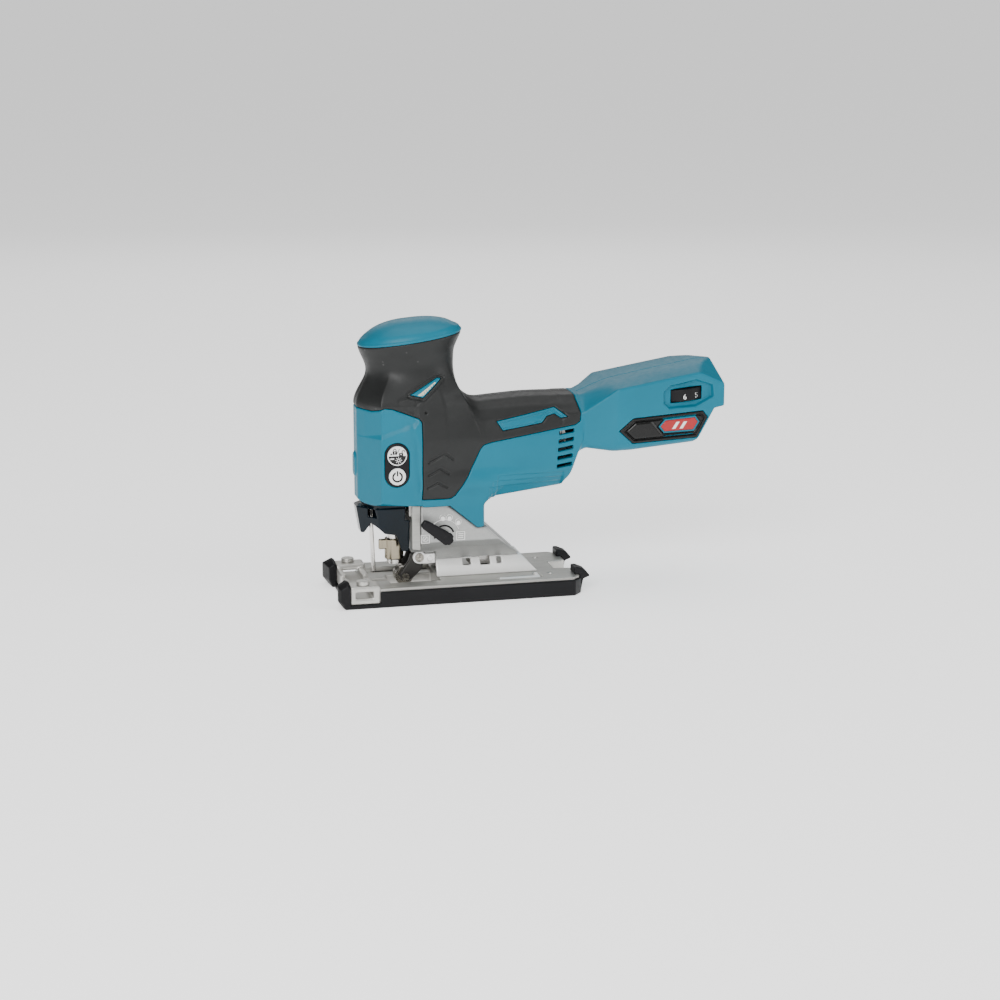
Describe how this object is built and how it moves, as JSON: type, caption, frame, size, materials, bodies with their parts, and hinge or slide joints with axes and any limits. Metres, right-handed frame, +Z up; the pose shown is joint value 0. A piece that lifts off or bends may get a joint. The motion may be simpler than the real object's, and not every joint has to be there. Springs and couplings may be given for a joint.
{
  "type": "cordless jigsaw",
  "caption": "Cordless jigsaw with a barrel grip, roller guide, orbit lever and a bevelling base; it takes a T-shank blade and a slide-on battery.",
  "frame": {"origin": "middle of the sole's underside, on the blade's centre plane", "axes": "-X is the cutting direction, +X points to the battery end, +Y to the user's right, +Z up from the sole"},
  "size_m": [0.281, 0.079, 0.1995],
  "materials": {
    "teal_plastic": "satin, fine texture",
    "grip_rubber": "soft matt",
    "black_plastic": "satin",
    "white_print": "satin",
    "smoked_clear": "smoked clear",
    "clear_lens": "clear",
    "circuit_board": "satin",
    "potting": "matt",
    "copper": "enamelled wire",
    "lamination": "stacked sheet",
    "steel": "ground",
    "bright_steel": "bright plated",
    "cast_aluminium": "fine cast",
    "nickel": "warm nickel plated",
    "bronze": "sintered",
    "contact_metal": "plated",
    "fan_plastic": "moulded",
    "black_steel": "black oxide"
  },
  "bodies": {
    "tool_body": {"housing_left": "teal_plastic", "housing_right": "teal_plastic", "grip_left": "grip_rubber", "grip_right": "grip_rubber", "top_cap": "teal_plastic", "side_inlay_left": "black_plastic", "side_inlay_right": "black_plastic", "switch_panel_left": "black_plastic", "switch_panel_right": "black_plastic", "switch_board": "circuit_board", "controller_board": "potting", "dial_potentiometer": "potting", "terminal_block": "black_plastic", "terminal_blades": "contact_metal", "led_lens": "clear_lens", "motor_stator": "lamination", "stator_coils": "copper", "front_bearing": "steel", "rear_bearing": "steel", "gear_bearing": "steel", "gear_housing": "cast_aluminium", "plunger_bush_lower": "bronze", "plunger_bush_upper": "bronze", "guard_wire": "bright_steel", "arm_plates": "bright_steel", "arm_pin": "steel", "tilt_bolt": "black_steel", "clamp_plate": "steel", "housing_screws": "black_steel"},
    "rotor": {"rotor_core": "lamination", "rotor_shaft": "steel", "fan": "fan_plastic"},
    "crank": {"crank_gear": "steel", "crank_shaft": "steel"},
    "plunger": {"plunger_rod": "steel", "yoke_slider": "steel", "crank_pin": "steel", "blade_clamp": "steel"},
    "clamp_ring": {"clamp_sleeve": "nickel"},
    "orbit": {"orbit_lever": "black_plastic", "orbit_shaft": "steel"},
    "arm": {"roller_arm": "black_steel", "roller_pin": "steel"},
    "roller": {"guide_roller": "steel"},
    "dust_guard": {"dust_cover": "smoked_clear"},
    "lock_left": {"lock_button_left": "white_print"},
    "lock_right": {"lock_button_right": "white_print"},
    "power_left": {"power_button_left": "white_print"},
    "power_right": {"power_button_right": "white_print"},
    "dial": {"speed_dial": "black_plastic"},
    "base": {"base_plate": "cast_aluminium", "base_cover": "black_plastic", "tilt_bracket": "bright_steel"},
    "guide_screw_near": {"guide_screw_left": "bright_steel"},
    "guide_screw_far": {"guide_screw_right": "bright_steel"},
    "wrench": {"hex_wrench": "bright_steel"}
  },
  "joints": [
    {"name": "motor_spin", "type": "hinge", "parent": "tool_body", "child": "rotor", "pos_m": [0, 0, 0.106], "axis": [1, 0, 0], "continuous": true},
    {"name": "crank_spin", "type": "hinge", "parent": "tool_body", "child": "crank", "pos_m": [0, 0, 0.081], "axis": [1, 0, 0], "continuous": true},
    {"name": "plunger_stroke", "type": "slide", "parent": "tool_body", "child": "plunger", "axis": [0, 0, 1], "range_m": [0, 0.026]},
    {"name": "clamp_turn", "type": "hinge", "parent": "plunger", "child": "clamp_ring", "pos_m": [-0.044, 0, 0], "axis": [0, 0, 1], "range_deg": [-40, 0], "stiffness_Nm_per_rad": 0.05, "springref_deg": 17.19},
    {"name": "orbit_select", "type": "hinge", "parent": "tool_body", "child": "orbit", "pos_m": [-0.0123, 0, 0.0463], "axis": [0, 1, 0], "range_deg": [0, 90]},
    {"name": "arm_swing", "type": "hinge", "parent": "tool_body", "child": "arm", "pos_m": [-0.0282, 0, 0.0281], "axis": [0, 1, 0], "range_deg": [0, 8], "stiffness_Nm_per_rad": 0.5, "springref_deg": -2.86},
    {"name": "roller_spin", "type": "hinge", "parent": "arm", "child": "roller", "pos_m": [-0.0376, 0, 0.0132], "axis": [0, 1, 0], "continuous": true},
    {"name": "dust_guard_slide", "type": "slide", "parent": "tool_body", "child": "dust_guard", "axis": [0, 0, 1], "range_m": [-0.004, 0]},
    {"name": "lock_press_left", "type": "slide", "parent": "tool_body", "child": "lock_left", "axis": [0, 1, 0], "range_m": [0, 0.0008], "stiffness_N_per_m": 900, "springref_m": -0.0006},
    {"name": "lock_press_right", "type": "slide", "parent": "tool_body", "child": "lock_right", "axis": [0, -1, 0], "range_m": [0, 0.0008], "stiffness_N_per_m": 900, "springref_m": -0.0006},
    {"name": "power_press_left", "type": "slide", "parent": "tool_body", "child": "power_left", "axis": [0, 1, 0], "range_m": [0, 0.0008], "stiffness_N_per_m": 900, "springref_m": -0.0006},
    {"name": "power_press_right", "type": "slide", "parent": "tool_body", "child": "power_right", "axis": [0, -1, 0], "range_m": [0, 0.0008], "stiffness_N_per_m": 900, "springref_m": -0.0006},
    {"name": "speed_select", "type": "hinge", "parent": "tool_body", "child": "dial", "pos_m": [0.162, -0.018, 0.1415], "axis": [-0.0958, 0, 0.9954], "range_deg": [-50, 220]},
    {"name": "bevel", "type": "hinge", "parent": "tool_body", "child": "base", "pos_m": [0, 0, 0.013], "axis": [1, 0, 0], "range_deg": [-45, 45]},
    {"name": "guide_screw_left_turn", "type": "hinge", "parent": "base", "child": "guide_screw_near", "pos_m": [-0.0724, -0.0325, 0.013], "axis": [0, 0, 1], "range_deg": [0, 720]},
    {"name": "guide_screw_right_turn", "type": "hinge", "parent": "base", "child": "guide_screw_far", "pos_m": [-0.0724, 0.0325, 0.013], "axis": [0, 0, 1], "range_deg": [0, 720]},
    {"name": "wrench_pull", "type": "slide", "parent": "base", "child": "wrench", "axis": [0, 0, 1], "range_m": [0, 0.012]}
  ],
  "couplings": [
    {"joint": "crank_spin", "follows": "motor_spin", "ratio": -0.25}
  ]
}
